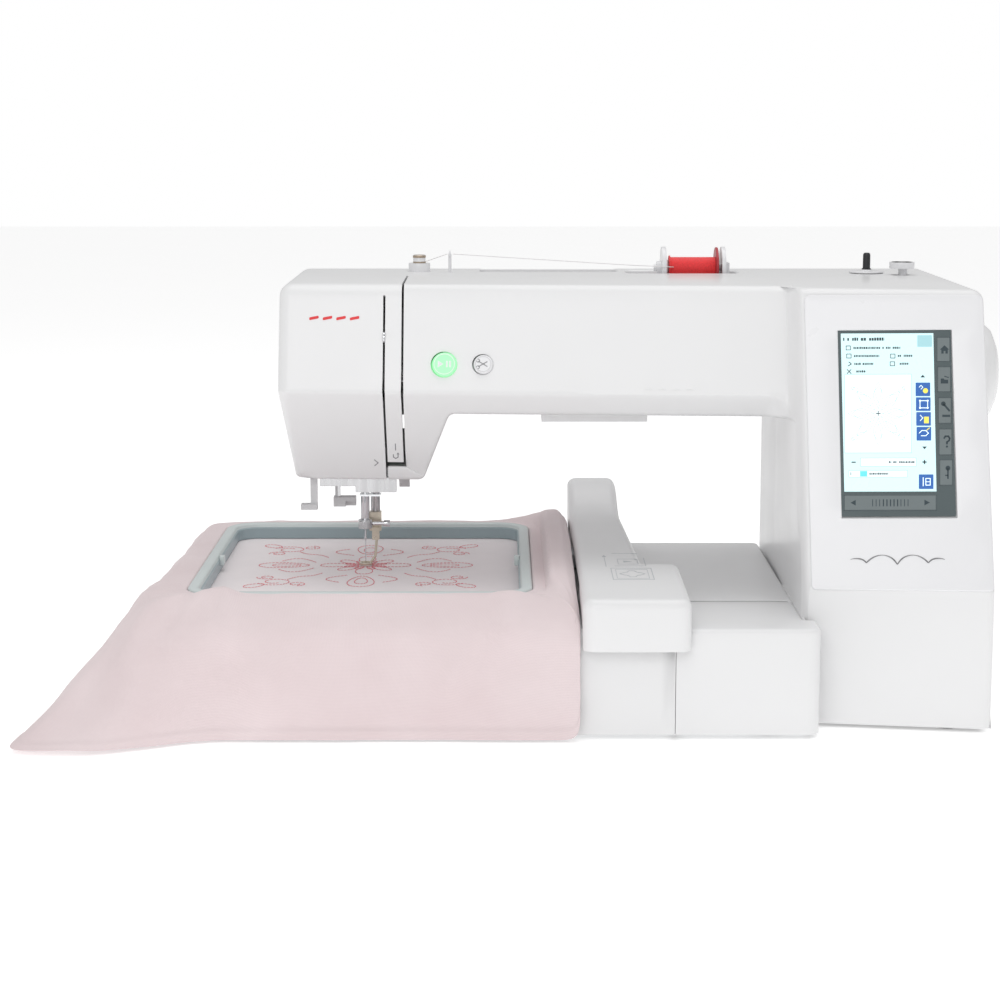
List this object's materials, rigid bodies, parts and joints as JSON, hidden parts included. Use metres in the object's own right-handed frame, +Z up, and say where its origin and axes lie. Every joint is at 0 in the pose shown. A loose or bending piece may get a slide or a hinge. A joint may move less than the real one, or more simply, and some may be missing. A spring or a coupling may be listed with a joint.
{
  "type": "embroidery sewing machine",
  "caption": "C-shaped embroidery machine with touch screen, needle head, travelling hoop arm and a hooped cloth with draped edges.",
  "frame": {"origin": "middle of the overall outline on the table, under the feet", "axes": "+X to the right along the arm, +Y to the back, +Z up; the needle head is on the -X side"},
  "size_m": [0.6862, 0.4082, 0.312],
  "materials": {
    "white_shell": "satin moulded plastic",
    "grey_plastic": "fine grained plastic",
    "dark_plastic": "fine grained plastic",
    "aluminium": "brushed",
    "steel": "ground",
    "chrome": "polished",
    "rubber": "matt",
    "screen": "display glass",
    "board": "solder mask",
    "led_lens": "light diffuser",
    "green_key": "lit key",
    "red_thread": "wound thread",
    "thread": "thin thread",
    "hoop_plastic": "smooth plastic",
    "cloth": "woven cotton",
    "clear_plastic": "clear plastic",
    "bobbin_plastic": "clear plastic"
  },
  "bodies": {
    "casing": {"base_plate": "aluminium", "rubber_feet": "rubber", "main_casting": "aluminium", "bed_frame": "aluminium", "front_shell": "white_shell", "rear_shell": "white_shell", "face_cover": "white_shell", "display_panel": "white_shell", "touch_screen": "screen", "lcd_module": "dark_plastic", "control_board": "board", "bed_cover": "white_shell", "front_cover_left": "white_shell", "front_cover_right": "white_shell", "needle_plate": "steel", "case_screws": "steel", "bobbin_holder": "dark_plastic", "lamp_lens": "led_lens", "main_motor": "dark_plastic", "thread_guides": "grey_plastic", "tension_unit": "steel", "drive_belts": "rubber", "x_rails": "steel", "side_sockets": "dark_plastic", "threader_plate": "steel", "upper_thread": "thread"},
    "main_shaft": {"upper_shaft": "steel", "handwheel": "white_shell", "needle_crank": "steel"},
    "bottom_shaft": {"lower_shaft": "steel"},
    "motor_shaft": {"motor_pulley": "steel"},
    "hook": {"rotary_hook": "steel"},
    "bobbin": {"bobbin": "bobbin_plastic"},
    "needle_unit": {"needle_bar": "chrome", "needle_clamp": "chrome", "clamp_screw": "chrome", "needle": "chrome"},
    "presser_unit": {"presser_bar": "chrome", "embroidery_foot": "chrome"},
    "lifter": {"presser_lifter": "grey_plastic"},
    "take_up": {"take_up_lever": "steel"},
    "threader": {"needle_threader": "clear_plastic"},
    "start": {"start_button": "green_key"},
    "cutter": {"cutter_button": "white_shell"},
    "winder_base": {"winder_arm": "grey_plastic"},
    "winder": {"winder_spindle": "dark_plastic"},
    "stopper": {"winder_stopper": "white_shell"},
    "spool_stand": {"spool_pin": "white_shell"},
    "spool": {"thread_spool": "red_thread"},
    "cap": {"spool_cap": "white_shell"},
    "arm": {"arm_cover": "white_shell", "arm_base": "grey_plastic"},
    "hoop": {"y_carriage": "grey_plastic", "outer_hoop": "hoop_plastic", "inner_hoop": "hoop_plastic", "cloth": "cloth"},
    "lock": {"hoop_lock": "grey_plastic"},
    "bobbin_lid": {"bobbin_cover": "clear_plastic"},
    "switch": {"power_switch": "dark_plastic"},
    "handle": {"carrying_handle": "white_shell"}
  },
  "joints": [
    {"name": "handwheel_turn", "type": "hinge", "parent": "casing", "child": "main_shaft", "pos_m": [-0.12193, 0.03913, 0.2235], "axis": [1, 0, 0], "continuous": true},
    {"name": "bottom_shaft_turn", "type": "hinge", "parent": "casing", "child": "bottom_shaft", "pos_m": [-0.12193, 0.03643, 0.047], "axis": [1, 0, 0], "continuous": true},
    {"name": "motor_turn", "type": "hinge", "parent": "casing", "child": "motor_shaft", "pos_m": [-0.12193, 0.10113, 0.13], "axis": [1, 0, 0], "continuous": true},
    {"name": "hook_turn", "type": "hinge", "parent": "casing", "child": "hook", "pos_m": [-0.12193, 0.01813, 0.06], "axis": [0, 0, 1], "continuous": true},
    {"name": "bobbin_turn", "type": "hinge", "parent": "casing", "child": "bobbin", "pos_m": [-0.12193, 0.01813, 0.06], "axis": [0, 0, 1], "continuous": true},
    {"name": "needle_stroke", "type": "slide", "parent": "casing", "child": "needle_unit", "axis": [0, 0, 1], "range_m": [-0.014, 0.016]},
    {"name": "presser_lift", "type": "slide", "parent": "casing", "child": "presser_unit", "axis": [0, 0, 1], "range_m": [0, 0.008]},
    {"name": "lifter_swing", "type": "hinge", "parent": "casing", "child": "lifter", "pos_m": [-0.09493, 0.07313, 0.172], "axis": [1, 0, 0], "range_deg": [0, 45]},
    {"name": "take_up_swing", "type": "hinge", "parent": "casing", "child": "take_up", "pos_m": [-0.10293, 0.01913, 0.255], "axis": [1, 0, 0], "range_deg": [-18.4, 16.1]},
    {"name": "threader_push", "type": "slide", "parent": "casing", "child": "threader", "axis": [0, 0, -1], "range_m": [0, 0.03], "stiffness_N_per_m": 60, "springref_m": -0.012},
    {"name": "start_press", "type": "slide", "parent": "casing", "child": "start", "axis": [0.0579, 0.9376, -0.3429], "range_m": [0, 0.0015], "stiffness_N_per_m": 400, "springref_m": -0.0006},
    {"name": "cutter_press", "type": "slide", "parent": "casing", "child": "cutter", "axis": [0.0579, 0.9376, -0.3429], "range_m": [0, 0.0015], "stiffness_N_per_m": 400, "springref_m": -0.0006},
    {"name": "winder_shift", "type": "slide", "parent": "casing", "child": "winder_base", "axis": [1, 0, 0], "range_m": [0, 0.005]},
    {"name": "winder_turn", "type": "hinge", "parent": "winder_base", "child": "winder", "pos_m": [0.25507, 0.08913, 0.3], "axis": [0, 0, 1], "continuous": true},
    {"name": "stopper_shift", "type": "slide", "parent": "casing", "child": "stopper", "axis": [-1, 0, 0], "range_m": [0, 0.005]},
    {"name": "spool_stand_lift", "type": "hinge", "parent": "casing", "child": "spool_stand", "pos_m": [0.15107, 0.10513, 0.284], "axis": [0, 1, 0], "range_deg": [0, 20]},
    {"name": "spool_turn", "type": "hinge", "parent": "spool_stand", "child": "spool", "pos_m": [0.12507, 0.10513, 0.296], "axis": [1, 0, 0], "continuous": true},
    {"name": "cap_pull", "type": "slide", "parent": "spool_stand", "child": "cap", "axis": [-1, 0, 0], "range_m": [0, 0.022]},
    {"name": "hoop_across", "type": "slide", "parent": "casing", "child": "arm", "axis": [1, 0, 0], "range_m": [-0.095, 0.077]},
    {"name": "hoop_in_out", "type": "slide", "parent": "arm", "child": "hoop", "axis": [0, 1, 0], "range_m": [-0.1, 0.1], "deforming": ["cloth"]},
    {"name": "lock_turn", "type": "hinge", "parent": "hoop", "child": "lock", "pos_m": [0.02407, 0.02913, 0.094], "axis": [0, 0, 1], "range_deg": [0, 90]},
    {"name": "bobbin_lid_slide", "type": "slide", "parent": "casing", "child": "bobbin_lid", "axis": [0, -1, 0], "range_m": [0, 0.038]},
    {"name": "switch_rock", "type": "hinge", "parent": "casing", "child": "switch", "pos_m": [0.30907, 0.10013, 0.07], "axis": [0, 1, 0], "range_deg": [-5, 5]},
    {"name": "handle_swing", "type": "hinge", "parent": "casing", "child": "handle", "pos_m": [0.01507, 0.13913, 0.2855], "axis": [-1, 0, 0], "range_deg": [0, 90]}
  ],
  "couplings": [
    {"joint": "bottom_shaft_turn", "follows": "handwheel_turn", "ratio": 1},
    {"joint": "motor_turn", "follows": "handwheel_turn", "ratio": 5},
    {"joint": "hook_turn", "follows": "handwheel_turn", "ratio": -2},
    {"joint": "take_up_swing", "follows": "needle_stroke", "rad_per_m": -20},
    {"joint": "lifter_swing", "follows": "presser_lift", "rad_per_m": 98.1}
  ]
}
